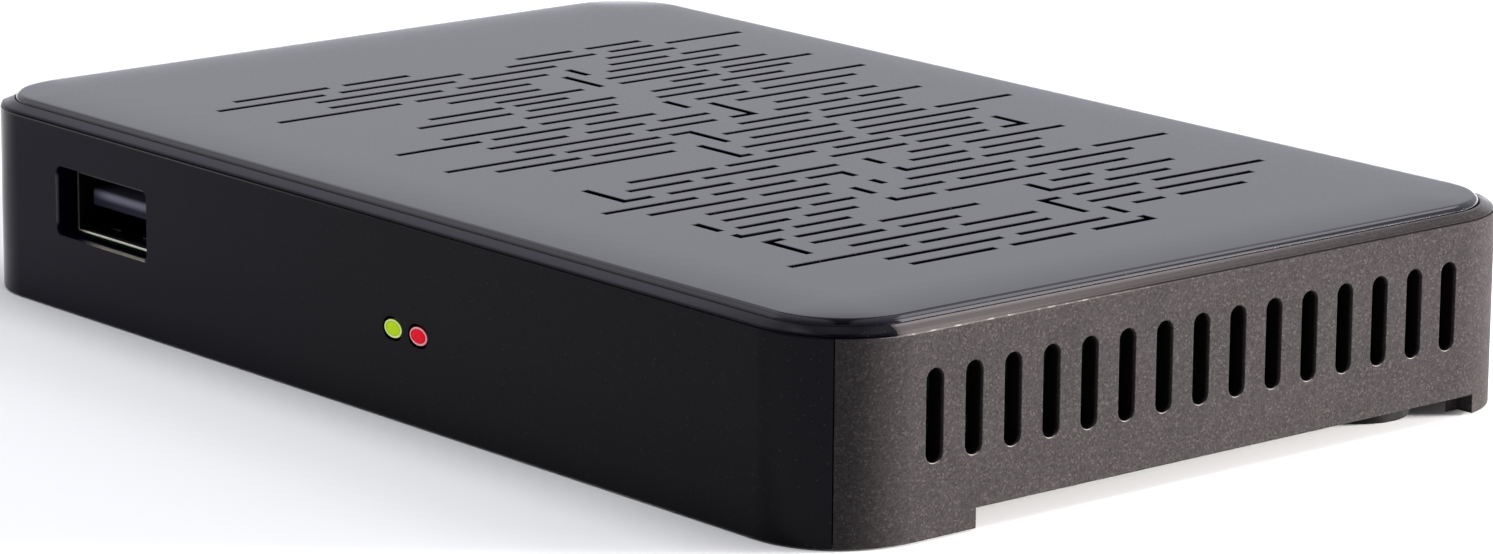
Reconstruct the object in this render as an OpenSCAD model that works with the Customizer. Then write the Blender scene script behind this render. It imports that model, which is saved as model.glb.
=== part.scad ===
// Small terrestrial television receiver: a flat set-top box that stands on four rubber feet.
// Millimetres, +Z up, +X to the right seen from the front, +Y towards the rear.
// The origin is on the desk, in the middle of the part's outline seen from above.

/* [Case] */
// Width of the case
body_w = 138; // [132:1:160]
// Depth of the case, from the front panel to the rear wall
body_d = 90.6; // [84:0.2:120]
// Height from the desk to the top face of the cover
body_h = 20.6; // [20:0.1:30]
// Radius of the four upright corners
corner_r = 10; // [8:0.5:12]
// Thickness of the case walls
wall = 2; // [1.8:0.1:2.4]
// Thickness of the bottom panel
floor_t = 1.8; // [1.4:0.1:2.2]
// Height of the bottom panel's underside above the desk
floor_lift = 2.1; // [1.5:0.1:2.6]
// Gap between the desk and the moulded corner feet
foot_gap = 0.2; // [0.1:0.1:0.6]
// Length of the moulded foot behind each front corner
front_foot = 17.5; // [12:0.5:24]
// Length of the moulded foot at each rear corner, along the side and along the rear
rear_foot = 8.2; // [6:0.2:9.5]

/* [Shoulder] */
// Drop from the cover's top face to the inner edge of the rim
rim_drop = 0.52; // [0.4:0.02:0.7]
// Width of the rim, from the wall's face to the cover's edge
rim_w = 1.5; // [1.3:0.05:1.7]
// Fall of the shoulder from its inner edge to its sloped outer edge
shoulder_fall = 0.4; // [0.3:0.02:0.5]
// Height of the sloped outer edge of the shoulder
edge_h = 0.18; // [0.1:0.01:0.3]
// Width of the sloped outer edge of the shoulder
edge_w = 0.3; // [0.2:0.05:0.5]
// Height of the groove between the wall and the shoulder
groove_h = 0.2; // [0.15:0.05:0.4]
// Depth of the groove
groove_d = 0.2; // [0.1:0.05:0.5]
// Setback of the shoulder from the wall's face
shoulder_inset = 0.1; // [0.05:0.05:0.2]

/* [Side vent slots] */
// Distance between neighbouring slots
slot_pitch = 4.71; // [4:0.01:6]
// Width of a slot
slot_w = 2; // [1.4:0.1:2.4]
// Length of a slot, round ends included
slot_len = 8.7; // [6:0.1:9.5]
// Height of a slot's lower end above the desk
slot_low = 7.1; // [6:0.1:8]
// Wall left between the last slot and the corner
slot_edge = 1; // [0.5:0.1:2]

/* [Top cover] */
// Thickness of the cover plate
plate_t = 1.6; // [1.2:0.1:2]
// Gap between the cover's edge and the rim round it and under it
edge_gap = 0.1; // [0.05:0.05:0.2]
// Radius of the cover's rounded edge
roll_r = 0.6; // [0.3:0.05:0.65]
// Gap between the cover's locating lip and the case walls
lip_gap = 0.2; // [0.1:0.05:0.3]
// Width of a vent slit
slit_w = 0.9; // [0.5:0.05:1]
// Unit of the slit plan, in which the slits' places are given
slit_unit = 1; // [0.9:0.01:1.1]
// Plain margin between the vent slits and the edge of the plate
slit_margin = 4; // [3:0.5:8]
// Depth of the locating lip under the plate
lip_h = 1.8; // [1:0.1:2.5]
// Thickness of the locating lip
lip_t = 1.2; // [0.8:0.1:1.6]

/* [Front panel] */
// Gap between the front panel and the bottom panel behind it
fit_gap = 0.1; // [0.05:0.05:0.2]
// Angle round a front corner, from the side, where the panel's wall ends
seam_angle = 45; // [30:1:60]
// Angle round a front corner, from the side, where the panel's rim ends
rim_seam_angle = 12; // [5:1:25]
// Width of the seam between the front panel and the lower case
seam_gap = 0.1; // [0.05:0.05:0.2]
// Distance of a locating tongue from the middle of the panel
tongue_x = 24; // [18:1:30]
// Width of a locating tongue
tongue_w = 10; // [6:1:14]
// Reach of a locating tongue behind the panel
tongue_reach = 6; // [4:0.5:8]
// Thickness of a locating tongue
tongue_t = 1.5; // [1:0.1:2]

/* [Feet and screws] */
// Diameter of a rubber foot
pad_d = 10; // [8:0.5:11]
// Depth of the recess that holds a rubber foot
pad_recess = 0.4; // [0.2:0.1:0.6]
// Gap round a rubber foot in its recess
pad_gap = 0.2; // [0.1:0.05:0.3]
// Distance of a rubber foot's centre from the side of the case
pad_side = 8; // [7.5:0.5:10]
// Distance of a rubber foot's centre from the front or rear of the case
pad_end = 15.8; // [15:0.2:20]
// Distance of a case screw from the side of the case
boss_side = 12.5; // [12:0.5:13.5]
// Distance of a case screw from the front or rear of the case
boss_end = 8.3; // [8:0.1:9]
// Diameter of a screw boss
boss_d = 7.6; // [7.2:0.1:8.4]
// Height of a screw boss above the bottom panel
boss_h = 6.1; // [5:0.1:7]
// Thickness of the seat under a case screw's head
seat_t = 1.8; // [1.2:0.1:2.4]
// Diameter of a pillar under the cover
pillar_d = 6.4; // [5.6:0.1:7.2]
// Diameter of a case screw's shank
screw_d = 2.8; // [2.4:0.1:3.2]
// Length of a case screw's shank
screw_len = 8; // [6:0.5:9]
// Diameter of a case screw's head
screw_head_d = 5; // [4.4:0.1:5.4]
// Height of a case screw's head
screw_head_h = 1.8; // [1.4:0.1:2.2]
// Gap round a screw in its hole
screw_gap = 0.2; // [0.1:0.05:0.3]
// Diameter of a board screw's shank
board_screw_d = 2.2; // [1.8:0.1:2.6]
// Length of a board screw's shank
board_screw_len = 4; // [3.2:0.1:4.2]
// Diameter of a board screw's head
board_head_d = 4.4; // [4:0.1:5]
// Height of a board screw's head
board_head_h = 1.6; // [1.2:0.1:2]
// Diameter of a board standoff
standoff_d = 5; // [4.6:0.1:6]
// Height of a board standoff
standoff_h = 2.9; // [2.7:0.1:3.2]

/* [Main board] */
// Thickness of the circuit board
board_t = 1.6; // [1:0.1:1.8]
// Gap between the board and the side walls
board_side = 5; // [4:0.5:7]
// Gap between the board and the front panel
board_front = 1; // [0.5:0.1:2]
// Gap between the board and the rear wall
board_rear = 0.8; // [0.5:0.1:2]
// Distance of a board screw from the board's side edge
board_screw_side = 5; // [4:0.5:6]
// Distance of a board screw in front of or behind the board's middle
board_screw_y = 16; // [12:1:20]
// Gap between the board and a boss that passes through it
board_gap = 0.5; // [0.3:0.1:0.8]
// Side of the processor
processor_w = 14; // [10:0.5:17]
// Height of the processor
processor_h = 1.4; // [1:0.1:2]
// Place of the processor, from the middle of the case
processor_at = [-6, 0]; // [-20:0.5:20]
// Thickness of the thermal pad
pad_sheet = 0.5; // [0.3:0.1:1]
// Side of the heat sink
sink_w = 22; // [18:0.5:24]
// Thickness of the heat sink's base
sink_base = 1.5; // [1:0.1:2]
// Height of the heat sink's fins
sink_fin_h = 4.5; // [3:0.1:5]
// Thickness of a fin
sink_fin_t = 1; // [0.6:0.1:1.2]
// Number of fins
sink_fins = 7; // [4:1:8]
// Distance of the power components' right column from the board's right edge
power_edge = 15; // [13:0.5:18]
// Diameter of an electrolytic capacitor
can_d = 6.3; // [5:0.1:7]
// Height of an electrolytic capacitor
can_h = 7.7; // [5:0.1:8]

/* [Front pieces] */
// Width of an LED's oval face
led_w = 2.75; // [2.2:0.05:3]
// Height of an LED's oval face
led_h = 2; // [1.6:0.05:2.6]
// Gap round an LED in the front panel
led_gap = 0.15; // [0.1:0.05:0.3]
// Place of the middle between the two LEDs, to the right of the case's middle
led_mid = 7.6; // [4:0.1:12]
// Distance between the two LEDs
led_pitch = 4; // [3.8:0.1:6]
// Height of the LEDs above the desk
led_z = 9.05; // [9:0.05:12]
// Width of the flange round an LED behind the panel
led_flange = 0.4; // [0.25:0.05:0.45]
// Depth of the flange and base behind the panel
led_base = 2.5; // [2:0.1:3.2]
// Distance of the infrared receiver from the case's middle
ir_x = 30; // [20:1:36]
// Width of the USB shell
usb_w = 13.1; // [12:0.1:14]
// Height of the USB shell
usb_h = 6.4; // [6:0.1:6.8]
// Length of the USB shell
usb_len = 14; // [12:0.5:16]
// Distance of the USB socket's middle from the left side of the case
usb_side = 25.3; // [24:0.1:29]
// Setback of the USB shell behind the front face
usb_setback = 1.5; // [1:0.1:1.9]
// Gap at each side of the USB shell in the front panel
usb_side_gap = 1.45; // [0.5:0.05:2]
// Gap above and below the USB shell in the front panel
usb_top_gap = 0.4; // [0.3:0.05:0.6]
// Thickness of the sheet metal of the socket shells
sheet = 0.3; // [0.2:0.05:0.4]

/* [Rear sockets] */
// Distance of the antenna socket's axis from the left side of the case
antenna_side = 38; // [35:0.5:41]
// Outer diameter of the antenna barrel
antenna_d = 10.6; // [10.4:0.1:11.4]
// Bore of the antenna barrel
antenna_bore = 9.6; // [9.4:0.1:9.8]
// Height of the antenna barrel's axis above the desk
antenna_z = 11; // [10.5:0.1:11.5]
// How far the antenna barrel stands out behind the case
antenna_reach = 8; // [4:0.5:12]
// Distance from the tuner can to the outside of the rear wall
tuner_setback = 6; // [5:0.5:8]
// Width of the tuner can
tuner_w = 26; // [22:1:28]
// Depth of the tuner can
tuner_d = 20; // [16:1:22]
// Gap between the tuner can's lid and the cover
tuner_gap = 1.6; // [1:0.1:3]
// Distance of the HDMI socket to the right of the case's middle
hdmi_x = 2; // [0:0.5:5]
// Width of the HDMI shell
hdmi_w = 15; // [14.6:0.1:15.6]
// Height of the HDMI shell
hdmi_h = 5.6; // [5.4:0.1:6]
// Length of the HDMI shell
hdmi_len = 11.5; // [10:0.5:13]
// Distance of the audio and video jack to the right of the case's middle
jack_x = 22; // [19:0.5:26]
// Bore of the audio and video jack
jack_bore = 3.6; // [3.5:0.05:3.8]
// Outer diameter of the jack's nose
jack_nose_d = 5.6; // [5.2:0.1:6]
// Distance of the power inlet to the right of the case's middle
inlet_x = 38; // [36:0.5:40]
// Bore of the power inlet
inlet_bore = 4.4; // [4.2:0.1:4.8]
// Outer diameter of the power inlet's nose
inlet_nose_d = 6.8; // [6.4:0.1:7.2]
// Diameter of the power inlet's pin
inlet_pin_d = 1.65; // [1.3:0.05:2]
// Gap round a socket in the rear wall
port_gap = 0.3; // [0.2:0.05:0.5]
// Setback of the rear sockets behind the outside of the rear wall
port_setback = 0.4; // [0.2:0.1:0.8]

/* [Hidden] */
$fn = 64;
cut = 1;
half_w = body_w / 2;
half_d = body_d / 2;
front_y = -(body_d + antenna_reach) / 2;
rear_y = front_y + body_d;
mid_y = (front_y + rear_y) / 2;
centre_x = half_w - corner_r;
centre_y = half_d - corner_r;

floor_top = floor_lift + floor_t;
board_low = floor_top + standoff_h;
board_top = board_low + board_t;
plate_low = body_h - plate_t;
rim_top = body_h - rim_drop;
edge_top = rim_top - shoulder_fall;
groove_top = edge_top - edge_h;
wall_top = groove_top - groove_h;
panel_t = wall - fit_gap;
panel_back = front_y + panel_t;
seam_step = seam_gap / corner_r * 180 / PI;
tub_seam = seam_angle - seam_step;
tub_rim_seam = rim_seam_angle - seam_step;
plate_inset = wall + lip_gap;
edge_inset = rim_w + edge_gap;
roll_steps = 8;

boss_x = half_w - boss_side;
boss_y = half_d - boss_end;
boss_top = floor_top + boss_h;
seat_z = boss_top - seat_t;
cross_w = 0.6;
cross_edge = 0.9;
cross_depth = 1;
pad_x = half_w - pad_side;
pad_y = half_d - pad_end;
slot_reach = floor((half_d - corner_r - slot_w / 2 - slot_edge) / slot_pitch);

board_w = body_w - 2 * wall - 2 * board_side;
board_y0 = front_y + wall + board_front;
board_y1 = rear_y - wall - board_rear;
board_screw_x = board_w / 2 - board_screw_side;
processor_top = board_top + processor_h;
sink_z = processor_top + pad_sheet;

led_back = panel_back + led_base;
led_room = 2;
led_notch_w = led_pitch + led_w + 2 * led_flange + 2 * led_room;
led_notch_y = led_back + 1.5;
lead_w = 0.5;
lead_pitch = 2.54;
lead_run = 3;

insert_gap = 0.05;
usb_x = half_w - usb_side;
usb_y = front_y + usb_setback;
usb_wall_d = 3;
usb_tongue_w = 11;
usb_tongue_t = 1.84;
usb_tongue_drop = 1.55;
usb_tongue_setback = 1.2;
usb_tongue_z = board_top + usb_h - sheet - usb_tongue_drop - usb_tongue_t;
usb_contacts_n = 4;
usb_contact_pitch = 2.4;
usb_contact = [1, 7, 0.2];
usb_cut_r = 0.8;

antenna_x = half_w - antenna_side;
tuner_y = rear_y - tuner_setback;
tuner_top = plate_low - tuner_gap;
tuner_sheet = 0.4;
tuner_lid_gap = 0.1;
tuner_lid_skirt = 1.6;
barrel_base = 1.2;
barrel_room = 0.6;
insulator_t = 2;
insulator_gap = 0.1;
pin_socket_d = 3.4;
pin_socket_bore = 2.4;
pin_socket_len = 8;

port_y = rear_y - port_setback;
wall_in = rear_y - wall;
body_room = 0.4;
hdmi_corner = [1.9, 2.2];
hdmi_wall_d = 3;
hdmi_tongue_size = [11.6, 6.2, 1.4];
hdmi_contact = [0.4, 5, 0.15];
hdmi_contact_pitch = 1;
jack_body = [6.4, 12, 5.8];
jack_z = board_top + jack_body[2] / 2;
jack_depth = 12;
inlet_body = [7.8, 11, 7.6];
inlet_z = board_top + inlet_body[2] / 2;
inlet_depth = 9;
inlet_pin_len = 8;
tab = [0.3, 2, 3.2];

// Places of the loose components, from the middle of the case
power_x = board_w / 2 - power_edge;
power_step = 9;
inductor_y = 12;
regulator_y = 21;
flash_y = 22;
capacitor_y = [15, 23];
usb_capacitor_at = [-24, -32];
capacitor_at = [
    [power_x, capacitor_y[0]], [power_x, capacitor_y[1]], [power_x - power_step, capacitor_y[1]],
    usb_capacitor_at
];
inductor_at = [for (i = [1, 2]) [power_x - i * power_step, inductor_y]];
inductor_size = [6, 6, 3];
regulator_at = [for (i = [2, 3]) [power_x - i * power_step, regulator_y]];
regulator_size = [4.9, 3.9, 1.5];
flash_at = [power_x - 4 * power_step, flash_y];
flash_size = [5.2, 5.3, 1.8];
crystal_at = [-6, -20];
crystal_size = [11, 4.6, 3.4];
tuner_chip_size = [7, 7, 1];
chip_cap_size = [0.8, 1.6, 0.8];
chip_caps_n = 6;
chip_cap_pitch = 2.4;
chip_cap_off = 14;
ir_size = [6, 4, 7];
ir_lens_r = 2.2;
ir_lens_z = 4.2;
ir_room = 2.6;

// Vent slits along Y, in slit units from the middle of the cover: place of each column and its runs
slit_columns = [
    [-45.3, [[-27.5, -15.5], [-13.5, -5], [9.5, 17], [19, 26.5]]],
    [-42.5, [[-31.5, -18], [-16, 0], [6, 18], [20, 26], [28, 38.5]]],
    [-39.8, [[-21, -3], [-1, 10.5], [17.5, 27]]],
    [-36.8, [[-21.5, -7], [-5, 7], [15.5, 23.5], [25.5, 33.5]]],
    [-34, [[-30, -14.5], [-12.5, 2.5], [13, 28.5]]],
    [-31.1, [[-10.5, 1.5], [10.5, 21], [22.5, 32.5]]],
    [-28.3, [[-6.5, 5], [10, 22], [24, 36.5]]],
    [-25.8, [[-17, -7.5], [-6, 1], [15, 21.5], [23, 31.5]]],
    [-23, [[-20.5, -8.5], [-6.5, 5], [10, 17], [19.5, 28]]],
    [-20.2, [[-9, 3], [8.5, 19.5], [21.5, 37]]],
    [-17, [[-22, -11.5], [-9.5, 0.5], [11, 18], [20, 33]]],
    [-14, [[-30, -19.5], [-18, -8], [-6, 3], [14, 29]]],
    [-10.8, [[-21, -11], [-8.5, -1], [1, 7.5], [16.5, 21], [23, 30.5]]],
    [-7.8, [[-20, -5], [-3, 6], [8, 11], [14, 24], [25.5, 34]]],
    [-4.7, [[-31, -17.5], [-16, -4], [-2.5, 0], [6.5, 16], [17.5, 28.5]]],
    [-1.8, [[-27, -16.5], [-15, -4.5], [2, 13.5], [15.5, 26.5]]],
    [1.3, [[-22.5, -7], [3, 14.5], [16.5, 26.5], [28, 38.5]]],
    [4.3, [[-0.5, 12.5], [14.5, 31]]],
    [7.3, [[-3.5, -2], [0, 11.5], [13.5, 27.5]]],
    [10, [[-20, -9], [-7.5, 4], [6.5, 14], [15.5, 26.5]]],
    [13, [[-22.5, -14.5], [-13, -3.5], [3.5, 13.5], [15, 24.5], [26.5, 29.5]]],
    [16.2, [[-25.5, -22], [-20, -12], [-10, 1.5], [11, 16.5], [18.5, 32]]],
    [19.2, [[-30.5, -19], [-17, -6.5], [-5, -0.5], [8.5, 16], [18, 26]]],
    [22.3, [[-27.5, -15.5], [-13.5, -5], [5, 14], [15.5, 23.5]]],
    [25.5, [[-23, -7.5], [2.5, 16.5], [18.5, 25.5], [27.5, 37.5]]],
    [28.5, [[-23.5, -14], [-12.5, -7], [-1, 4.5], [6.5, 14], [15.5, 30]]],
    [31.7, [[-24.5, -18], [-16, -9.5], [-4.5, 0.5], [2, 15], [17, 26]]],
    [34.7, [[-26.5, -21.5], [-20, -13], [13, 18.5], [20.5, 29.5]]],
    [37.8, [[-26, -24], [-22.5, -14], [-12, 0.5], [10, 15.5], [17.5, 26]]],
    [40.7, [[-23, -14], [-12, -4.5], [6, 8.5], [10.5, 19], [21, 36]]],
    [43.8, [[-21, -9], [-7, 2.5], [9.5, 16.5], [18.5, 31.5]]],
    [46.8, [[-31, -16.5], [-15, 1.5], [12.5, 16.5], [18.5, 27.5]]],
    [49.9, [[-22, -7.5], [-5.5, 6]]],
    [52.8, [[-21.5, -11], [-9, -1], [1.5, 9]]]
];
// Vent slits along X, in slit units: place, start and end. Where one meets a column it makes a hook.
slit_bars = [
    [10.2, -37, -34.3], [7.5, -34.2, -28.6], [7.7, -17.7, -14.6], [11, -14.3, -7.8], [0, -4.7, 0.9],
    [-3.5, 1.3, 7.3], [29.5, 8.8, 13], [-25.5, 10.5, 16.2], [5.5, 16.1, 18.2], [-0.5, 19.2, 20.8],
    [5.2, 21.1, 22.3], [-0.5, 23.9, 25.1], [-4.3, 25.4, 27.9], [-4.5, 30.9, 31.7], [-26.5, 28.4, 31.3],
    [-26.5, 34, 34.7], [10, 34.8, 37.8], [-26, 37.8, 43.5], [6.2, 40.7, 46.5], [9.1, 46.8, 49.1],
    [9, 51.7, 52.8]
];
slit_room_x = half_w - plate_inset - slit_margin;
slit_room_y = half_d - plate_inset - slit_margin;

gloss_black = [0.05, 0.05, 0.055];
taupe = [0.4, 0.38, 0.37];
rubber_black = [0.06, 0.06, 0.06];
board_green = [0.08, 0.3, 0.16];
chip_black = [0.1, 0.1, 0.11];
steel = [0.72, 0.73, 0.75];
gold = [0.83, 0.68, 0.3];
ivory = [0.86, 0.85, 0.8];

// Shapes that several pieces share

// A slot with round ends, centred, lying along Y
module slot_shape(w, length) {
    square([w, length - w], center = true);
    for (end = [-1, 1]) translate([0, end * (length - w) / 2]) circle(d = w);
}

// A rectangle with round corners, centred
module round_plate(w, d, r) {
    square([w - 2 * r, d], center = true);
    square([w, d - 2 * r], center = true);
    for (x = [-1, 1], y = [-1, 1])
        translate([x * (w / 2 - r), y * (d / 2 - r)]) circle(r);
}

// The case's outline seen from above, drawn in by an inset
module case_plan(inset) {
    translate([0, mid_y]) round_plate(body_w - 2 * inset, body_d - 2 * inset, corner_r - inset);
}

// The case's wall seen from above
module wall_plan(thick) {
    difference() {
        case_plan(0);
        case_plan(thick);
    }
}

// The part of the plan in front of a seam line through the middle of each front corner's arc
module front_zone(seam) {
    y = mid_y - centre_y;
    far = 3 * corner_r;
    seam_x = centre_x + far * cos(seam);
    seam_y = y - far * sin(seam);
    polygon([
        [-centre_x, y], [centre_x, y], [seam_x, seam_y], [seam_x, front_y - far],
        [-seam_x, front_y - far], [-seam_x, seam_y]
    ]);
}

// Cross-section of the rim: distance inwards from the wall's face, height
rim_section = [
    [rim_w, wall_top], [0, wall_top], [groove_d, wall_top + groove_h / 2], [shoulder_inset, groove_top],
    [edge_w, edge_top], [rim_w, rim_top]
];

// Cross-section of the cover's rounded edge, which hangs over the top of the wall
roll_section = concat(
    [[plate_inset + lip_t, wall_top + edge_gap], [edge_inset, wall_top + edge_gap]],
    [for (i = [0:roll_steps]) let (a = 90 * i / roll_steps)
        [edge_inset + roll_r * (1 - cos(a)), body_h - roll_r * (1 - sin(a))]],
    [[plate_inset + lip_t, body_h]]
);

// A straight stretch of a ring, facing the given angle, at a distance from the middle of the case
module ring_side(section, angle, reach, half_len) {
    translate([0, mid_y, 0]) rotate([0, 0, angle]) translate([reach, half_len, 0]) rotate([90, 0, 0])
        linear_extrude(2 * half_len) polygon([for (p = section) [-p[0], p[1]]]);
}

// The ring's stretch round one corner, starting from the given angle
module ring_corner(section, side, end, angle) {
    translate([side * centre_x, mid_y + end * centre_y, 0]) rotate([0, 0, angle])
        rotate_extrude(angle = 90) polygon([for (p = section) [corner_r - p[0], p[1]]]);
}

// A ring round the whole case with the given cross-section
module ring(section) {
    for (angle = [0, 180]) ring_side(section, angle, half_w, centre_y);
    for (angle = [90, 270]) ring_side(section, angle, half_d, centre_x);
    ring_corner(section, 1, 1, 0);
    ring_corner(section, -1, 1, 90);
    ring_corner(section, -1, -1, 180);
    ring_corner(section, 1, -1, 270);
}

module at_four(x, y) {
    for (sx = [-1, 1], sy = [-1, 1]) translate([sx * x, mid_y + sy * y, 0]) children();
}

module at_case(places) {
    for (p = places) translate([p[0], mid_y + p[1], 0]) children();
}

// A block on the board, centred on its place
module on_board(size, z = board_top) {
    translate([-size[0] / 2, -size[1] / 2, z]) cube(size);
}

// An upright cylinder, from one height to another
module upright(d, from, to) {
    translate([0, 0, from]) cylinder(d = d, h = to - from);
}

// A cylinder along Y, from one depth to another
module along_y(d, from, to) {
    translate([0, from, 0]) rotate([-90, 0, 0]) cylinder(d = d, h = to - from);
}

// A screw, head down, with a cross recess in the head and the seat at its origin
module screw(d, length, head_d, head_h) {
    arm = head_d - 2 * cross_edge;
    difference() {
        union() {
            cylinder(d = d, h = length);
            translate([0, 0, -head_h]) cylinder(d = head_d, h = head_h);
        }
        for (a = [0, 90]) rotate([0, 0, a])
            translate([-arm / 2, -cross_w / 2, -head_h - cut]) cube([arm, cross_w, cross_depth + cut]);
    }
}

// A bar with the LED's oval section, grown all round, from a depth behind the front face
module led_bar(depth, length, grow) {
    translate([0, front_y + depth, led_z]) rotate([-90, 0, 0]) linear_extrude(length)
        rotate(90) slot_shape(led_h + 2 * grow, led_w + 2 * grow);
}

// The outline of the HDMI shell, drawn in by an inset, standing on the board
module hdmi_outline(inset) {
    w = hdmi_w / 2 - inset;
    c = hdmi_corner;
    polygon([
        [-w, hdmi_h - inset], [w, hdmi_h - inset], [w, c[1]], [w - c[0] + inset / 2, inset],
        [c[0] - w - inset / 2, inset], [-w, c[1]]
    ]);
}

// Case

// What is cut away under the walls between the moulded feet
module foot_cuts() {
    for (side = [-1, 1]) translate([side * half_w - wall, front_y + front_foot, 0])
        cube([2 * wall, body_d - front_foot - rear_foot, floor_lift]);
    translate([-half_w + rear_foot, wall_in, 0]) cube([body_w - 2 * rear_foot, 2 * wall, floor_lift]);
}

module side_slots() {
    for (side = [-1, 1], i = [-slot_reach:slot_reach])
        translate([side * half_w, mid_y + i * slot_pitch, slot_low + slot_len / 2])
            rotate([90, 0, 90]) linear_extrude(2 * (wall + cut), center = true)
                slot_shape(slot_w, slot_len);
}

module rear_holes() {
    translate([-antenna_x, 0, antenna_z]) along_y(antenna_d + 2 * port_gap, wall_in - cut, rear_y + cut);
    translate([hdmi_x - hdmi_w / 2 - port_gap, wall_in - cut, board_top - port_gap])
        cube([hdmi_w + 2 * port_gap, wall + 2 * cut, hdmi_h + 2 * port_gap]);
    translate([jack_x, 0, jack_z]) along_y(jack_nose_d + 2 * port_gap, wall_in - cut, rear_y + cut);
    translate([inlet_x, 0, inlet_z]) along_y(inlet_nose_d + 2 * port_gap, wall_in - cut, rear_y + cut);
}

module board_posts() {
    at_four(board_screw_x, board_screw_y) children();
}

module lower_case() {
    color(taupe) difference() {
        union() {
            translate([0, 0, floor_lift]) linear_extrude(floor_t) case_plan(wall);
            translate([0, 0, foot_gap]) linear_extrude(wall_top - foot_gap) difference() {
                wall_plan(wall);
                front_zone(tub_seam);
            }
            difference() {
                ring(rim_section);
                linear_extrude(body_h) front_zone(tub_rim_seam);
            }
            at_four(boss_x, boss_y) upright(boss_d, floor_lift, boss_top);
            board_posts() upright(standoff_d, floor_lift, board_low);
        }
        foot_cuts();
        side_slots();
        rear_holes();
        at_four(boss_x, boss_y) {
            upright(screw_head_d + 2 * screw_gap, floor_lift - cut, seat_z);
            upright(screw_d + 2 * screw_gap, floor_lift, boss_top + cut);
        }
        board_posts() upright(board_screw_d + screw_gap, floor_lift + floor_t / 2, board_low + cut);
        at_four(pad_x, pad_y) upright(pad_d + 2 * pad_gap, floor_lift - cut, floor_lift + pad_recess);
    }
}

module front_panel() {
    color(gloss_black) difference() {
        union() {
            translate([0, 0, foot_gap]) linear_extrude(wall_top - foot_gap) intersection() {
                wall_plan(panel_t);
                front_zone(seam_angle);
            }
            intersection() {
                ring(rim_section);
                linear_extrude(body_h) front_zone(rim_seam_angle);
            }
            for (side = [-1, 1])
                translate([side * tongue_x - tongue_w / 2, front_y + panel_t / 2, floor_top])
                    cube([tongue_w, panel_t / 2 + tongue_reach, tongue_t]);
        }
        translate([-usb_x, front_y, board_top + usb_h / 2]) rotate([90, 0, 0])
            linear_extrude(2 * (wall + cut), center = true)
                round_plate(usb_w + 2 * usb_side_gap, usb_h + 2 * usb_top_gap, usb_cut_r);
        for (side = [-1, 1]) translate([led_mid + side * led_pitch / 2, -cut, 0])
            led_bar(0, wall + 2 * cut, led_gap);
    }
}

module vent_slits() {
    for (column = slit_columns, run = column[1] * slit_unit) {
        x = column[0] * slit_unit;
        from = max(run[0], -slit_room_y);
        to = min(run[1], slit_room_y);
        if (abs(x) < slit_room_x && to > from) translate([x, mid_y + (from + to) / 2])
            square([slit_w, to - from], center = true);
    }
    for (bar = slit_bars * slit_unit) {
        from = max(bar[1], -slit_room_x);
        to = min(bar[2], slit_room_x);
        if (abs(bar[0]) < slit_room_y && to > from) translate([(from + to) / 2, mid_y + bar[0]])
            square([to - from + slit_w, slit_w], center = true);
    }
}

module top_cover() {
    color(gloss_black) difference() {
        union() {
            translate([0, 0, plate_low]) linear_extrude(plate_t) difference() {
                case_plan(plate_inset);
                vent_slits();
            }
            ring(roll_section);
            translate([0, 0, plate_low - lip_h]) linear_extrude(lip_h) difference() {
                case_plan(plate_inset);
                case_plan(plate_inset + lip_t);
            }
            at_four(boss_x, boss_y) upright(pillar_d, boss_top, plate_low);
        }
        at_four(boss_x, boss_y) upright(screw_d + screw_gap, boss_top - cut, seat_z + screw_len + screw_gap);
    }
}

module rubber_feet() {
    foot_h = floor_lift + pad_recess;
    edge = pad_recess;
    color(rubber_black) at_four(pad_x, pad_y) rotate_extrude()
        polygon([[0, 0], [pad_d / 2 - edge, 0], [pad_d / 2, edge], [pad_d / 2, foot_h], [0, foot_h]]);
}

module case_screws() {
    color(steel) at_four(boss_x, boss_y) translate([0, 0, seat_z])
        screw(screw_d, screw_len, screw_head_d, screw_head_h);
}

// Board and what stands on it

module main_board() {
    notch = antenna_d + 2 * barrel_room;
    color(board_green) difference() {
        translate([-board_w / 2, board_y0, board_low]) cube([board_w, board_y1 - board_y0, board_t]);
        at_four(boss_x, boss_y) upright(boss_d + 2 * board_gap, board_low - cut, board_top + cut);
        board_posts() upright(board_screw_d + 2 * screw_gap, board_low - cut, board_top + cut);
        translate([led_mid - led_notch_w / 2, board_y0 - cut, board_low - cut])
            cube([led_notch_w, led_notch_y - board_y0 + cut, board_t + 2 * cut]);
        translate([-antenna_x - notch / 2, tuner_y, board_low - cut])
            cube([notch, rear_y - tuner_y, board_t + 2 * cut]);
    }
}

module board_screws() {
    color(steel) board_posts() translate([0, 0, board_top]) mirror([0, 0, 1])
        screw(board_screw_d, board_screw_len, board_head_d, board_head_h);
}

module processor() {
    color(chip_black) at_case([processor_at]) on_board([processor_w, processor_w, processor_h]);
}

module thermal_pad() {
    color("lightblue") at_case([processor_at]) on_board([processor_w, processor_w, pad_sheet], processor_top);
}

module heat_sink() {
    fin_pitch = (sink_w - sink_fin_t) / (sink_fins - 1);
    color("dimgray") at_case([processor_at]) {
        on_board([sink_w, sink_w, sink_base], sink_z);
        for (i = [0:sink_fins - 1]) translate([-sink_w / 2 + sink_fin_t / 2 + i * fin_pitch, 0, 0])
            on_board([sink_fin_t, sink_w, sink_base + sink_fin_h], sink_z);
    }
}

module flash_chip() {
    color(chip_black) at_case([flash_at]) on_board(flash_size);
}

module crystal() {
    size = crystal_size;
    color(steel) at_case([crystal_at]) translate([0, 0, board_top]) rotate([0, 0, 90])
        linear_extrude(size[2]) slot_shape(size[1], size[0]);
}

module regulators() {
    color(chip_black) at_case(regulator_at) on_board(regulator_size);
}

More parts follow.
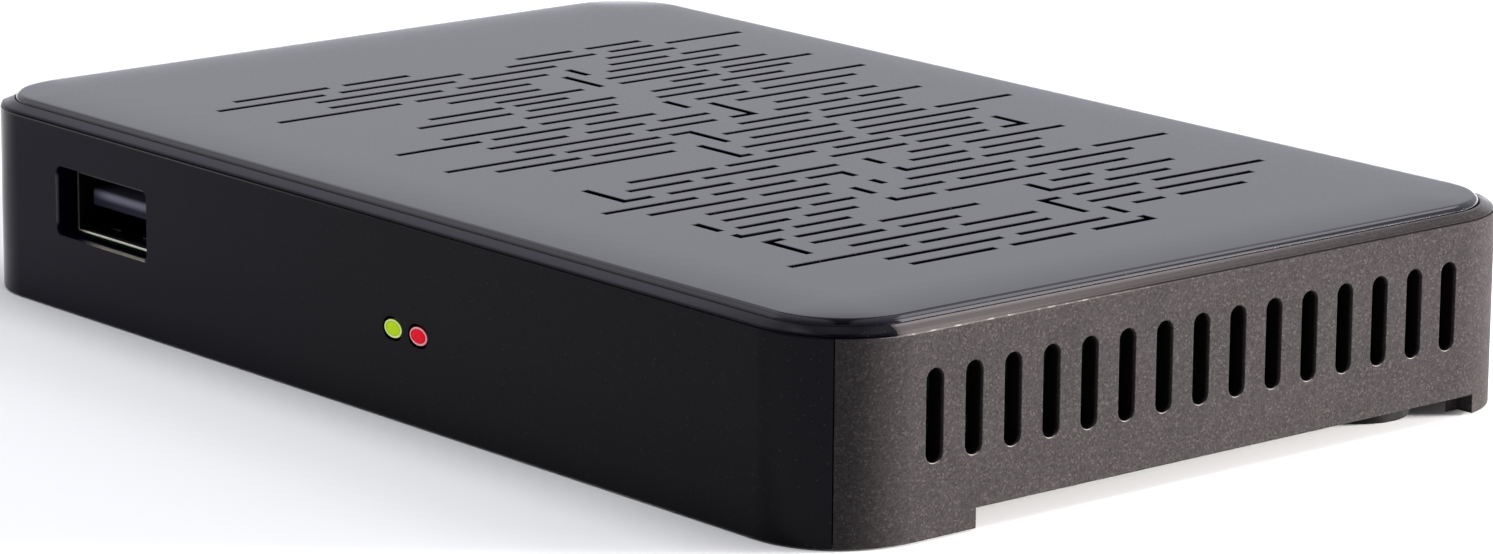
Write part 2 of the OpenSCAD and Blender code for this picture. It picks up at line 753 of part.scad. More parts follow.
module inductors() {
    size = inductor_size;
    color([0.25, 0.25, 0.26]) at_case(inductor_at) translate([0, 0, board_top])
        linear_extrude(size[2]) round_plate(size[0], size[1], size[2] / 3);
}

module electrolytic_capacitors() {
    r = can_d / 2;
    nip = 0.3;
    color([0.16, 0.17, 0.2]) at_case(capacitor_at) translate([0, 0, board_top]) rotate_extrude()
        polygon([
            [0, 0], [r, 0], [r, 1], [r - nip, 1 + nip], [r, 1 + 2 * nip], [r, can_h - nip],
            [r - nip, can_h], [0, can_h]
        ]);
}

module chip_capacitors() {
    color([0.6, 0.5, 0.38]) for (side = [-1, 1], i = [0:chip_caps_n - 1])
        translate([(i - (chip_caps_n - 1) / 2) * chip_cap_pitch, side * chip_cap_off, 0])
            at_case([processor_at]) on_board(chip_cap_size);
}

// Front pieces

module led() {
    led_bar(0, panel_t + led_base, 0);
    led_bar(panel_t, 1, led_flange);
}

module led_green() {
    color([0.69, 0.8, 0.16]) translate([led_mid - led_pitch / 2, 0, 0]) led();
}

module led_red() {
    color([0.84, 0.08, 0.18]) translate([led_mid + led_pitch / 2, 0, 0]) led();
}

module led_leads() {
    color(steel) for (side = [-1, 1], lead = [-1, 1])
        translate([led_mid + side * led_pitch / 2 + lead * lead_pitch / 2 - lead_w / 2, led_back, 0]) {
            translate([0, 0, led_z - lead_w / 2]) cube([lead_w, lead_run, lead_w]);
            translate([0, lead_run - lead_w, board_top]) cube([lead_w, lead_w, led_z - board_top]);
        }
}

module ir_receiver() {
    y = panel_back + ir_room + ir_size[1] / 2;
    color(chip_black) translate([ir_x, y, 0]) {
        on_board(ir_size);
        translate([0, -ir_size[1] / 2, board_top + ir_lens_z]) intersection() {
            sphere(ir_lens_r);
            translate([0, -ir_lens_r / 2, 0]) cube([2, 1, 2] * ir_lens_r, center = true);
        }
    }
}

module usb_shell() {
    inner = [usb_w - 2 * sheet, usb_len + 2 * cut, usb_h - 2 * sheet];
    color(steel) translate([-usb_x, usb_y + usb_len / 2, 0]) difference() {
        on_board([usb_w, usb_len, usb_h]);
        on_board(inner, board_top + sheet);
    }
}

module usb_tongue() {
    block = [usb_w - 2 * sheet - 2 * insert_gap, usb_wall_d, usb_h - 2 * sheet - insert_gap];
    back = usb_y + usb_len;
    reach = usb_len - usb_tongue_setback;
    color([0.5, 0.55, 0.62]) translate([-usb_x, 0, 0]) {
        translate([0, back - usb_wall_d / 2, 0]) on_board(block, board_top + sheet);
        translate([0, back - reach / 2, 0]) on_board([usb_tongue_w, reach, usb_tongue_t], usb_tongue_z);
    }
}

module usb_contacts() {
    size = usb_contact;
    y = usb_y + usb_len - usb_wall_d - size[1] / 2;
    color(gold) for (i = [0:usb_contacts_n - 1])
        translate([-usb_x + (i - (usb_contacts_n - 1) / 2) * usb_contact_pitch, y, 0])
            on_board(size, usb_tongue_z - size[2]);
}

// Rear sockets

module tuner_can() {
    inner = [tuner_w - 2 * tuner_sheet, tuner_d - 2 * tuner_sheet, tuner_top];
    color(steel) translate([-antenna_x, tuner_y - tuner_d / 2, 0]) difference() {
        on_board([tuner_w, tuner_d, tuner_top - board_top]);
        on_board(inner, board_top - cut);
    }
}

module tuner_lid() {
    room = 2 * tuner_lid_gap;
    grow = room + 2 * tuner_sheet;
    skirt = tuner_top - tuner_lid_skirt;
    color(steel) translate([-antenna_x, tuner_y - tuner_d / 2, 0]) difference() {
        on_board([tuner_w + grow, tuner_d + grow, tuner_lid_skirt + tuner_sheet], skirt);
        on_board([tuner_w + room, tuner_d + room, tuner_lid_skirt + cut], skirt - cut);
    }
}

module tuner_chip() {
    color(chip_black) translate([-antenna_x, tuner_y - tuner_d / 2, 0]) on_board(tuner_chip_size);
}

module antenna_barrel() {
    y = tuner_y + tuner_sheet + tuner_lid_gap;
    color(steel) translate([-antenna_x, 0, antenna_z]) difference() {
        along_y(antenna_d, y, rear_y + antenna_reach);
        along_y(antenna_bore, y + barrel_base, rear_y + antenna_reach + cut);
    }
}

module antenna_insulator() {
    y = tuner_y + tuner_sheet + tuner_lid_gap + barrel_base;
    color(ivory) translate([-antenna_x, 0, antenna_z])
        along_y(antenna_bore - 2 * insulator_gap, y, y + insulator_t);
}

module antenna_contact() {
    y = tuner_y + tuner_sheet + tuner_lid_gap + barrel_base + insulator_t;
    color(gold) translate([-antenna_x, 0, antenna_z]) difference() {
        along_y(pin_socket_d, y, y + pin_socket_len);
        along_y(pin_socket_bore, y + cut, y + pin_socket_len + cut);
    }
}

module hdmi_shell() {
    color(steel) translate([hdmi_x, port_y, board_top]) rotate([90, 0, 0]) difference() {
        linear_extrude(hdmi_len) hdmi_outline(0);
        translate([0, 0, -cut]) linear_extrude(hdmi_len + 2 * cut) hdmi_outline(sheet);
    }
}

module hdmi_tongue() {
    size = hdmi_tongue_size + [0, hdmi_wall_d, 0];
    color(chip_black) translate([hdmi_x, port_y - hdmi_len, board_top]) {
        translate([0, hdmi_wall_d, 0]) rotate([90, 0, 0])
            linear_extrude(hdmi_wall_d) hdmi_outline(sheet + insert_gap);
        translate([-size[0] / 2, 0, hdmi_h / 2 - size[2] / 2]) cube(size);
    }
}

module hdmi_contacts() {
    size = hdmi_contact;
    y = port_y - hdmi_len + hdmi_wall_d;
    top = board_top + hdmi_h / 2 + hdmi_tongue_size[2] / 2;
    low = board_top + hdmi_h / 2 - hdmi_tongue_size[2] / 2 - size[2];
    color(gold) {
        for (i = [0:9]) translate([hdmi_x + (i - 4.5) * hdmi_contact_pitch - size[0] / 2, y, top]) cube(size);
        for (i = [0:8]) translate([hdmi_x + (i - 4) * hdmi_contact_pitch - size[0] / 2, y, low]) cube(size);
    }
}

// The body of a round socket: a block on the board with a nose in the rear wall and a blind bore
module round_socket(x, z, size, nose_d, bore, depth) {
    block_y = wall_in - body_room;
    translate([x, 0, 0]) difference() {
        union() {
            translate([0, block_y - size[1] / 2, 0]) on_board(size);
            translate([0, 0, z]) along_y(nose_d, block_y - cut, port_y);
        }
        translate([0, 0, z]) along_y(bore, port_y - depth, port_y + cut);
    }
}

// Solder tabs at both sides of a socket's block
module side_tabs(x, size) {
    for (side = [-1, 1])
        translate([x + side * (size[0] + tab[0]) / 2, wall_in - body_room - size[1] / 2, 0]) on_board(tab);
}

module av_jack_body() {
    color(chip_black) round_socket(jack_x, jack_z, jack_body, jack_nose_d, jack_bore, jack_depth);
}

module av_jack_contacts() {
    color(gold) side_tabs(jack_x, jack_body);
}

module power_inlet_body() {
    color(chip_black) round_socket(inlet_x, inlet_z, inlet_body, inlet_nose_d, inlet_bore, inlet_depth);
}

module power_inlet_pin() {
    y = port_y - inlet_depth;
    color(steel) translate([inlet_x, 0, inlet_z]) along_y(inlet_pin_d, y, y + inlet_pin_len);
}

module power_inlet_contacts() {
    color(gold) side_tabs(inlet_x, inlet_body);
}

lower_case();
front_panel();
top_cover();
rubber_feet();
case_screws();
main_board();
board_screws();
processor();
thermal_pad();
heat_sink();
flash_chip();
crystal();
regulators();
inductors();
electrolytic_capacitors();
chip_capacitors();
led_green();
led_red();
led_leads();
ir_receiver();
usb_shell();
usb_tongue();
usb_contacts();
tuner_can();
tuner_lid();
tuner_chip();
antenna_barrel();
antenna_insulator();
antenna_contact();
hdmi_shell();
hdmi_tongue();
hdmi_contacts();
av_jack_body();
av_jack_contacts();
power_inlet_body();
power_inlet_pin();
power_inlet_contacts();
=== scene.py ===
import math

import bmesh
import bpy
from mathutils import Euler, Matrix, Vector


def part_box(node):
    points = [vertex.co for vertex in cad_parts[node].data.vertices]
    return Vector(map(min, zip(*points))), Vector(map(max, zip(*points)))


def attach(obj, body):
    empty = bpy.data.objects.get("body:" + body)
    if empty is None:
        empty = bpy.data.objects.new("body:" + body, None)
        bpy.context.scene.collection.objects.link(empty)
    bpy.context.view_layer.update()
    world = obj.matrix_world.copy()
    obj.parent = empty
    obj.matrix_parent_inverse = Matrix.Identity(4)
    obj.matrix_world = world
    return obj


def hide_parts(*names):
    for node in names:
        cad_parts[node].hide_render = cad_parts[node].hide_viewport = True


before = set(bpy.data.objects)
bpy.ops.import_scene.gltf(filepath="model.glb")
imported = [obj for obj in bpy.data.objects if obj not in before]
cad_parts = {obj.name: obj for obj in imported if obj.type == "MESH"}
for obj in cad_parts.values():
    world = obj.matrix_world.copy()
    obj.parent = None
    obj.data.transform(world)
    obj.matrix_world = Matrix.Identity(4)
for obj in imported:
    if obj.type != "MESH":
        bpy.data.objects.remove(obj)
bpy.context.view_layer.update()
MM = 0.001

# Lower case
# A tub of taupe plastic with fine metal flakes in it, moulded in one piece with its vent slots, corner
# feet, screw bosses and the sloped rim along both sides and the rear. The mould is lightly spark-eroded.

case_taupe = (0.0235, 0.0209, 0.0211, 1)
flake_light = (0.09, 0.081, 0.079, 1)
# Painted shade, for the inside of the slots, the rear of the groove and the rim's outer edge.
painted_shade_dark = (0.004, 0.003, 0.003, 1)
# Painted highlight, for the slots' sills and the glints on the wall's top edge.
painted_highlight_pale = (0.2, 0.185, 0.18, 1)
case_middle = Vector((0, -4 * MM, 0))
case_half, case_corner = Vector((69 * MM, 45.3 * MM, 0)), 10 * MM
wall_top, groove_top, edge_top, rim_top = 19.3 * MM, 19.5 * MM, 19.68 * MM, 20.08 * MM
slot_low, slot_row_half = 7.1 * MM, 36 * MM
slot_edge_zone, slot_dark_zone, slot_fade = (6.5 * MM, 16.5 * MM), (6.4 * MM, 17 * MM), 0.2 * MM
rub_start, rub_full = 8 * MM, 3 * MM
# An edge whose middle is nearer to a face than this lies on it.
flush = 0.02 * MM


def merged_copy(node):
    """A closed copy of a solid, with the triangles of each flat face joined."""
    bm = bmesh.new()
    bm.from_mesh(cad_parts[node].data)
    bmesh.ops.remove_doubles(bm, verts=bm.verts, dist=0.001 * MM)
    bmesh.ops.dissolve_limit(bm, angle_limit=math.radians(0.5), verts=bm.verts, edges=bm.edges)
    return bm


def round_edges(bm, rounding, chosen=None, segments=2, hard=32):
    """Rounds the hard edges, or only those of them whose middle the test chooses."""
    edges = [e for e in bm.edges if e.is_manifold and e.calc_face_angle() > math.radians(hard)]
    if chosen:
        edges = [e for e in edges if chosen((e.verts[0].co + e.verts[1].co) / 2)]
    bmesh.ops.bevel(
        bm, geom=edges, offset=rounding, offset_type="OFFSET", segments=segments, profile=0.5,
        affect="EDGES", material=-1, loop_slide=False, clamp_overlap=False)


def settle(bm, name, material, slot, *nodes, smooth=40):
    """Makes the finished mesh a piece that stands for its solids, smooth across its soft edges."""
    mesh = bpy.data.meshes.new(name)
    bm.to_mesh(mesh)
    bm.free()
    mesh.shade_smooth()
    mesh.set_sharp_from_angle(angle=math.radians(smooth))
    mesh.materials.append(material)
    piece = bpy.data.objects.new(name, mesh)
    bpy.context.scene.collection.objects.link(piece)
    weighted = piece.modifiers.new("even_normals", "WEIGHTED_NORMAL")
    weighted.weight = 100
    weighted.keep_sharp = True
    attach(piece, "root")
    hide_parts(*nodes)


class Wire:
    """A shader socket. Sums on it add Math nodes, and node() adds any other kind."""

    def __init__(self, tree, socket):
        self.tree = tree
        self.socket = socket

    def node(self, kind, settings, inputs, output=0):
        made = self.tree.nodes.new("ShaderNode" + kind)
        for name, value in settings.items():
            setattr(made, name, value)
        for name, value in inputs.items():
            if isinstance(value, Wire):
                self.tree.links.new(value.socket, made.inputs[name])
            else:
                made.inputs[name].default_value = value
        return Wire(self.tree, made.outputs[output])

    def sum(self, operation, first, second=0.0):
        return self.node("Math", {"operation": operation}, {0: first, 1: second})

    def __add__(self, other):
        return self.sum("ADD", self, other)

    def __radd__(self, other):
        return self.sum("ADD", other, self)

    def __sub__(self, other):
        return self.sum("SUBTRACT", self, other)

    def __rsub__(self, other):
        return self.sum("SUBTRACT", other, self)

    def __mul__(self, other):
        return self.sum("MULTIPLY", self, other)

    def __rmul__(self, other):
        return self.sum("MULTIPLY", other, self)

    def axis(self, name):
        """One coordinate of a place: X, Y or Z."""
        return self.node("SeparateXYZ", {}, {"Vector": self}, name)

    def noise(self, size, detail=2.0):
        """Soft noise whose blotches are about as wide as the given size."""
        return self.node("TexNoise", {}, {"Vector": self, "Scale": 1 / size, "Detail": detail})

    def cells(self, size):
        """A random value for each cell of about the given size."""
        colour = self.node("TexVoronoi", {}, {"Vector": self, "Scale": 1 / size}, "Color")
        return self.node("SeparateColor", {}, {"Color": colour}, "Red")

    def step(self, low, high, start=0.0, end=1.0):
        """Rises smoothly from start to end as the value goes from low to high."""
        ends = {"Value": self, "From Min": low, "From Max": high, "To Min": start, "To Max": end}
        return self.node("MapRange", {"interpolation_type": "SMOOTHSTEP"}, ends)

    def band(self, rise, fall):
        """One between two values: grows over the first pair of them and fades over the second."""
        return self.step(*rise) * self.step(*fall)

    def blend(self, low, high):
        """A colour that goes from the first to the second as the value goes from 0 to 1."""
        return self.node("Mix", {"data_type": "RGBA"}, {0: self, 6: low, 7: high}, 2)

    def bump(self, depth):
        """The value as a relief of the given depth."""
        return self.node("Bump", {}, {"Strength": 1.0, "Distance": depth, "Height": self})


class Finish:
    """A material: constants are set on the shader's own sockets, and what varies is linked by paint()."""

    def __init__(self, name, constants):
        self.material = bpy.data.materials.new(name)
        self.material.use_nodes = True
        tree = self.material.node_tree
        self.shader = tree.nodes["Principled BSDF"]
        for socket, value in constants.items():
            self.shader.inputs[socket].default_value = value
        self.place = Wire(tree, tree.nodes.new("ShaderNodeTexCoord").outputs["Object"])

    def paint(self, socket, wire):
        wire.tree.links.new(wire.socket, self.shader.inputs[socket])


def shade(colour, share):
    """A colour made lighter or darker."""
    return tuple(share * c for c in colour)


def depth_inside(place, inset):
    """How far a place lies inside the case's rounded outline, drawn in by an inset."""
    corner = case_corner - inset
    over_x = place.sum("ABSOLUTE", place.axis("X") - case_middle.x) - (case_half.x - case_corner)
    over_y = place.sum("ABSOLUTE", place.axis("Y") - case_middle.y) - (case_half.y - case_corner)
    out_x, out_y = place.sum("MAXIMUM", over_x), place.sum("MAXIMUM", over_y)
    inner = place.sum("MINIMUM", place.sum("MAXIMUM", over_x, over_y))
    return corner - place.sum("SQRT", out_x * out_x + out_y * out_y) - inner


def rim_coat(place, shoulder, along):
    """Where the rim shines: a little along its top, and all over its four corners, rubbed smooth by hands."""
    aside = place.sum("ABSOLUTE", place.axis("X"))
    ahead = place.sum("ABSOLUTE", place.axis("Y") - case_middle.y)
    corner_x = aside.step(case_half.x - rub_start, case_half.x - rub_full)
    corner_y = ahead.step(case_half.y - rub_start, case_half.y - rub_full)
    top = place.axis("Z").step(rim_top - 0.14 * MM, rim_top - 0.08 * MM, 0.0, along)
    return place.sum("MAXIMUM", top, shoulder * corner_x * corner_y)


def taupe_finish():
    """Flaked plastic with painted shade in the slots, in the groove towards the rear and on the rim's outer
    edge, and painted highlights on the rim and the groove towards the front, on the slot sills and along the
    wall's top edge.
    """
    finish = Finish("taupe_flake_plastic", {"Specular IOR Level": 0.02, "Coat Roughness": 0.2})
    place = finish.place
    grain = place.noise(0.2 * MM)
    flecks = place.cells(0.17 * MM)
    tone = 0.7 * flecks + 0.3 * place.noise(6 * MM)
    base = tone.blend(shade(case_taupe, 0.6), shade(case_taupe, 1.4))
    base = flecks.step(0.88, 1.0, 0.0, 0.17).blend(base, flake_light)
    height, depth, ahead = place.axis("Z"), depth_inside(place, 0), place.axis("Y")
    low, high = slot_dark_zone
    slot_shade_zone = height.band((low, low + slot_fade), (high, high - slot_fade))
    # Painted shade darkens the inside of the vent slots.
    base = (depth.step(0.15 * MM, 0.5 * MM) * slot_shade_zone).blend(base, painted_shade_dark)

    to_front, from_front = ahead.step(34 * MM, -38 * MM), ahead.step(-36 * MM, -8 * MM)
    shoulder = height.step(groove_top - 0.02 * MM, groove_top + 0.04 * MM)
    ridge = height.step(rim_top - 0.22 * MM, rim_top - 0.12 * MM)
    # Painted light: the rim's shoulder and its ridge are lighter towards the front, the ridge as a painted
    # highlight.
    base = (shoulder * to_front).blend(base, shade(case_taupe, 2.3))
    base = (ridge * to_front).blend(base, shade(case_taupe, 3.6))
    # Painted shade darkens the rim's outer edge towards the rear.
    outer_edge = shoulder * height.step(edge_top + 0.02 * MM, edge_top - 0.04 * MM)
    base = (0.4 * outer_edge * from_front).blend(base, painted_shade_dark)
    # The groove gets painted light towards the front and painted shade towards the rear.
    groove = height.band((wall_top + 0.02 * MM, wall_top + 0.05 * MM), (groove_top, groove_top - 0.04 * MM))
    base = (0.7 * groove * to_front).blend(base, shade(case_taupe, 3.2))
    base = (0.85 * groove * from_front).blend(base, painted_shade_dark)

    # Painted highlights on the slots' lower sills and, as irregular glints, along the front of the wall's top
    # edge.
    sills = height.band((slot_low - 0.16 * MM, slot_low - 0.1 * MM), (slot_low + 0.3 * MM, slot_low))
    sills = sills * depth.band((0.01 * MM, 0.04 * MM), (0.16 * MM, 0.1 * MM))
    wall_edge = height.band(
        (wall_top - 0.1 * MM, wall_top - 0.04 * MM), (wall_top + 0.06 * MM, wall_top + 0.02 * MM))
    glints = 0.25 + 0.75 * place.noise(1.3 * MM, 6).step(0.48, 0.66)
    glints = glints * wall_edge * ahead.band((6 * MM, -36 * MM), (-43.5 * MM, -42 * MM))
    finish.paint("Base Color", place.sum("MAXIMUM", sills, glints).blend(base, painted_highlight_pale))
    finish.paint("Roughness", 0.5 + 0.16 * grain)
    finish.paint("Coat Weight", rim_coat(place, shoulder, 0.6))
    finish.paint("Normal", grain.bump(0.01 * MM))
    return finish.material


tub_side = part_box("lower_case")[1].x
tub = merged_copy("lower_case")
round_edges(tub, 0.12 * MM, segments=3, chosen=lambda at: (
    tub_side - abs(at.x) < flush and abs(at.y - case_middle.y) < slot_row_half
    and slot_edge_zone[0] < at.z < slot_edge_zone[1]))
round_edges(tub, 0.13 * MM, segments=3, chosen=lambda at: abs(at.z - rim_top) < flush)
round_edges(tub, 0.06 * MM)
settle(tub, "case_tub", taupe_finish(), "case_taupe", "lower_case")

# Rubber feet
# Four round feet of soft black rubber, moulded with a dished base and one ring groove, and glued into
# shallow recesses in the underside of the case.


def islands(node):
    """The boxes of a node's separate solids, from left to right and front to rear."""
    bm = merged_copy(node)
    left = set(bm.verts)
    boxes = []
    while left:
        reached = [left.pop()]
        for vert in reached:
            near = {e.other_vert(vert) for e in vert.link_edges} & left
            left -= near
            reached.extend(near)
        corners = [[vert.co[i] for vert in reached] for i in range(3)]
        boxes.append((Vector([min(c) for c in corners]), Vector([max(c) for c in corners])))
    bm.free()
    return sorted(boxes, key=lambda box: (round(box[0].x, 5), round(box[0].y, 5)))


def spun(bm, profile, centre, axis, steps=48):
    """Turns a profile of (radius, distance along the axis) points once round the axis, as on a lathe."""
    axis = Vector(axis)
    side = axis.orthogonal().normalized()
    verts = [bm.verts.new(centre + radius * side + along * axis) for radius, along in profile]
    edges = [bm.edges.new(pair) for pair in zip(verts, verts[1:])]
    bmesh.ops.spin(
        bm, geom=verts + edges, cent=centre, axis=axis, angle=2 * math.pi, steps=steps, use_merge=True)
    bmesh.ops.remove_doubles(bm, verts=bm.verts, dist=0.001 * MM)
    bmesh.ops.recalc_face_normals(bm, faces=bm.faces)


def moulded_finish(name, base, light, roughness, specular, grain_size=0.15 * MM, depth=0.008 * MM):
    """Plain moulded plastic, resin or rubber: a slight cloud of tone and a fine grain."""
    finish = Finish(name, {"Specular IOR Level": specular})
    grain = finish.place.noise(grain_size, 3)
    cloud = finish.place.noise(2.5 * MM, 3).step(0.35, 0.75)
    finish.paint("Base Color", cloud.blend(base, light))
    finish.paint("Roughness", roughness + 0.14 * grain)
    finish.paint("Normal", grain.bump(depth))
    return finish.material


feet = bmesh.new()
for low, high in islands("rubber_feet"):
    middle = Vector(((low.x + high.x) / 2, (low.y + high.y) / 2, low.z))
    r, top = (high.x - low.x) / 2, high.z - low.z
    spun(feet, [
        (0, 0.35 * MM), (0.45 * r, 0.3 * MM), (0.5 * r, 0.05 * MM), (0.55 * r, 0), (0.68 * r, 0),
        (0.71 * r, 0.3 * MM), (0.75 * r, 0.3 * MM), (0.78 * r, 0), (0.92 * r, 0), (0.97 * r, 0.12 * MM),
        (r, 0.4 * MM), (r, top - 0.1 * MM), (r - 0.1 * MM, top), (0, top),
    ], middle, (0, 0, 1))
rubber = moulded_finish(
    "foot_rubber", (0.01, 0.01, 0.01, 1), (0.02, 0.02, 0.02, 1), 0.7, 0.08, 0.12 * MM, 0.02 * MM)
settle(feet, "foot_pads", rubber, "foot_rubber", "rubber_feet")

# Main board
# Glass-fibre laminate with green lacquer over its copper tracks, cut out round the case's bosses, the
# lamps and the antenna socket. It lies on four posts of the tub.

lacquer_green = (0.006, 0.045, 0.016, 1)
track_green = (0.016, 0.1, 0.035, 1)
bare_copper = (0.5, 0.33, 0.16, 1)
track_pitch, track_patch, pad_pitch = 1.3 * MM, 9 * MM, 3.5 * MM


def laminate_finish():
    """Green lacquer over tracks that run either way in patches, with bare copper pads between them."""
    finish = Finish("green_laminate", {"Specular IOR Level": 0.45})
    pitch = {"Vector": finish.place, "Scale": math.pi / (10 * track_pitch)}
    ways = [finish.place.node("TexWave", {"bands_direction": way}, pitch, "Fac") for way in "XY"]
    turn = finish.place.cells(track_patch).step(0.48, 0.52)
    tracks = (turn * ways[0] + (1 - turn) * ways[1]).step(0.55, 0.75)
    spots = {"Vector": finish.place, "Scale": 1 / pad_pitch}
    pads = finish.place.node("TexVoronoi", {}, spots, "Distance").step(0.14, 0.1)
    finish.paint("Base Color", pads.blend(tracks.blend(lacquer_green, track_green), bare_copper))
    finish.paint("Metallic", pads)
    finish.paint("Roughness", 0.28 + 0.15 * finish.place.noise(0.5 * MM))
    finish.paint("Normal", (tracks + pads).bump(0.03 * MM))
    return finish.material


board = merged_copy("main_board")
round_edges(board, 0.05 * MM)
settle(board, "circuit_board", laminate_finish(), "board_laminate", "main_board")

# Board screws
# Four small steel screws with a cross recess, cold-headed and zinc-plated. They hold the board on the
# posts of the tub.


def metal_finish(name, bright, dull, roughness, grain_size=0.25 * MM, depth=0.003 * MM):
    """Sheet metal or plated metal: stains that dull it, and fine drawing marks."""
    finish = Finish(name, {"Metallic": 1.0})
    stain = finish.place.noise(2.5 * MM, 4).step(0.35, 0.75)
    marks = finish.place.noise(grain_size, 3)
    finish.paint("Base Color", stain.blend(bright, dull))
    finish.paint("Roughness", roughness + 0.12 * stain + 0.1 * marks)
    finish.paint("Normal", marks.bump(depth))
    return finish.material


screw_zinc = metal_finish("screw_zinc", (0.62, 0.62, 0.63, 1), (0.42, 0.42, 0.43, 1), 0.25)
small_screws = merged_copy("board_screws")
round_edges(small_screws, 0.07 * MM)
settle(small_screws, "board_fixings", screw_zinc, "screw_steel", "board_screws")

# Processor with its pad and heat sink
# A square chip in black resin, a soft sheet of pale silicone on it, and a finned sink of extruded
# aluminium that is stuck to the sheet.

resin_black, resin_worn = (0.012, 0.012, 0.013, 1), (0.022, 0.022, 0.023, 1)
chip_resin = moulded_finish("chip_resin", resin_black, resin_worn, 0.45, 0.4)


def rounded_piece(node, name, rounding, material, slot):
    """A piece that is the solid itself with its edges rounded."""
    bm = merged_copy(node)
    round_edges(bm, rounding)
    settle(bm, name, material, slot, node)


def piled(node, layers, rounding):
    """A solid remade as layers, each drawn in by (x, y) and kept between two shares of the height."""
    pile = bmesh.new()
    layer = bpy.data.meshes.new("layer")
    for draw, start, end in layers:
        part = merged_copy(node)
        for low, high in islands(node):
            size, foot = high - low, Vector(((low.x + high.x) / 2, (low.y + high.y) / 2, low.z))
            reach = 0.6 * size
            verts = [v for v in part.verts
                     if abs(v.co.x - foot.x) < reach.x and abs(v.co.y - foot.y) < reach.y]
            shrink = (1 - 2 * draw[0] / size.x, 1 - 2 * draw[1] / size.y, end - start)
            bmesh.ops.scale(part, vec=shrink, space=Matrix.Translation(-foot), verts=verts)
            bmesh.ops.translate(part, vec=(0, 0, start * size.z), verts=verts)
        round_edges(part, rounding)
        part.to_mesh(layer)
        part.free()
        pile.from_mesh(layer)
    bpy.data.meshes.remove(layer)
    return pile


package = piled("processor", [((0, 0), 0, 0.36), ((0.7 * MM, 0.7 * MM), 0.3, 1)], 0.08 * MM)
settle(package, "processor_chip", chip_resin, "chip_resin", "processor")
pad_grey = moulded_finish(
    "pad_silicone", (0.3, 0.36, 0.42, 1), (0.36, 0.42, 0.47, 1), 0.6, 0.3, 0.3 * MM, 0.02 * MM)
rounded_piece("thermal_pad", "silicone_sheet", 0.08 * MM, pad_grey, "pad_silicone")
sink_grey = metal_finish(
    "sink_aluminium", (0.2, 0.2, 0.21, 1), (0.13, 0.13, 0.14, 1), 0.35, 0.18 * MM, 0.006 * MM)
rounded_piece("heat_sink", "finned_sink", 0.12 * MM, sink_grey, "sink_aluminium")

# Small parts on the board
# Chips in black resin, a crystal in its pressed steel can, wire coils cast in resin, sleeved aluminium
# capacitors and ceramic chip capacitors with tinned ends, all soldered on the board's upper side.

lead_reach, lead_wide, lead_sheet, lead_trim = 0.8 * MM, 0.42 * MM, 0.2 * MM, 0.01 * MM
lead_tin = (0.5, 0.5, 0.49, 1)


def block(bm, low, high, rounding):
    """A block between two corners with its edges rounded."""
    cube = bmesh.ops.create_cube(bm, size=1.0)
    bmesh.ops.scale(bm, vec=high - low, verts=cube["verts"])
    bmesh.ops.translate(bm, vec=(low + high) / 2, verts=cube["verts"])
    edges = {e for v in cube["verts"] for e in v.link_edges}
    bmesh.ops.bevel(
        bm, geom=list(edges), offset=rounding, offset_type="OFFSET", segments=2, profile=0.5,
        affect="EDGES", material=-1, clamp_overlap=True)


def leaded_finish(name, low, high):
    """Black resin with tinned leads along its two long sides."""
    finish = Finish(name, {"Specular IOR Level": 0.4})
    place = finish.place
    grain = place.noise(0.15 * MM, 3)
    aside = place.sum("ABSOLUTE", place.axis("Y") - (low.y + high.y) / 2)
    wall = (high.y - low.y) / 2 - lead_reach
    lead = aside.step(wall, wall + 0.02 * MM)
    resin = place.noise(2.5 * MM, 3).blend(resin_black, resin_worn)
    finish.paint("Base Color", lead.blend(resin, lead_tin))
    finish.paint("Metallic", lead)
    finish.paint("Roughness", 0.4 + 0.14 * grain)
    finish.paint("Normal", grain.bump(0.008 * MM))
    return finish.material


def leaded_chip(node, name, slot, leads=4):
    """A moulded body on two rows of leads, which are bent down to the board."""
    taper = 0.12 * MM
    layers = [((0, lead_reach), 0.08, 0.55), ((taper, lead_reach + taper), 0.5, 1)]
    chip = piled(node, layers, 0.06 * MM)
    for low, high in islands(node):
        middle, knee = (low + high) / 2, low.z + 0.45 * (high.z - low.z)
        pitch = (high.x - low.x - 2 * lead_wide) / (leads - 1)
        for side in (-1, 1):
            tip = middle.y + side * (high.y - low.y) / 2
            wall = tip - side * lead_reach
            bend = wall + side * 0.45 * lead_reach
            runs = [
                (wall - side * 0.1 * MM, bend - side * 2 * lead_trim,
                 knee + lead_trim, knee + lead_sheet - lead_trim, lead_trim),
                (bend - side * lead_sheet, bend, low.z, knee + lead_sheet, 0),
                (bend - side * 0.5 * lead_sheet, tip, low.z + lead_trim, low.z + lead_sheet, lead_trim)]
            for i in range(leads):
                left = low.x + lead_wide / 2 + i * pitch
                for start, end, under, over, trim in runs:
                    block(chip, Vector((left + trim, min(start, end), under)),
                          Vector((left + lead_wide - trim, max(start, end), over)), 0.04 * MM)
    low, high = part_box(node)
    settle(chip, name, leaded_finish(name, low, high), slot, node)


leaded_chip("flash_chip", "memory_chip", "chip_resin")
leaded_chip("regulators", "regulator_chips", "chip_resin")
tinned_steel = metal_finish("tinned_steel", (0.56, 0.56, 0.55, 1), (0.36, 0.36, 0.36, 1), 0.28)
can = piled("crystal", [((0, 0), 0, 0.14), ((0.35 * MM, 0.35 * MM), 0.1, 1)], 0.16 * MM)
settle(can, "crystal_can", tinned_steel, "tinned_steel", "crystal")
coil_resin = moulded_finish(
    "coil_resin", (0.03, 0.03, 0.031, 1), (0.06, 0.06, 0.062, 1), 0.55, 0.3, 0.3 * MM, 0.03 * MM)
coils = piled("inductors", [((0, 0), 0, 0.9), ((0.9 * MM, 0.9 * MM), 0.85, 1)], 0.2 * MM)
settle(coils, "coils", coil_resin, "coil_resin", "inductors")


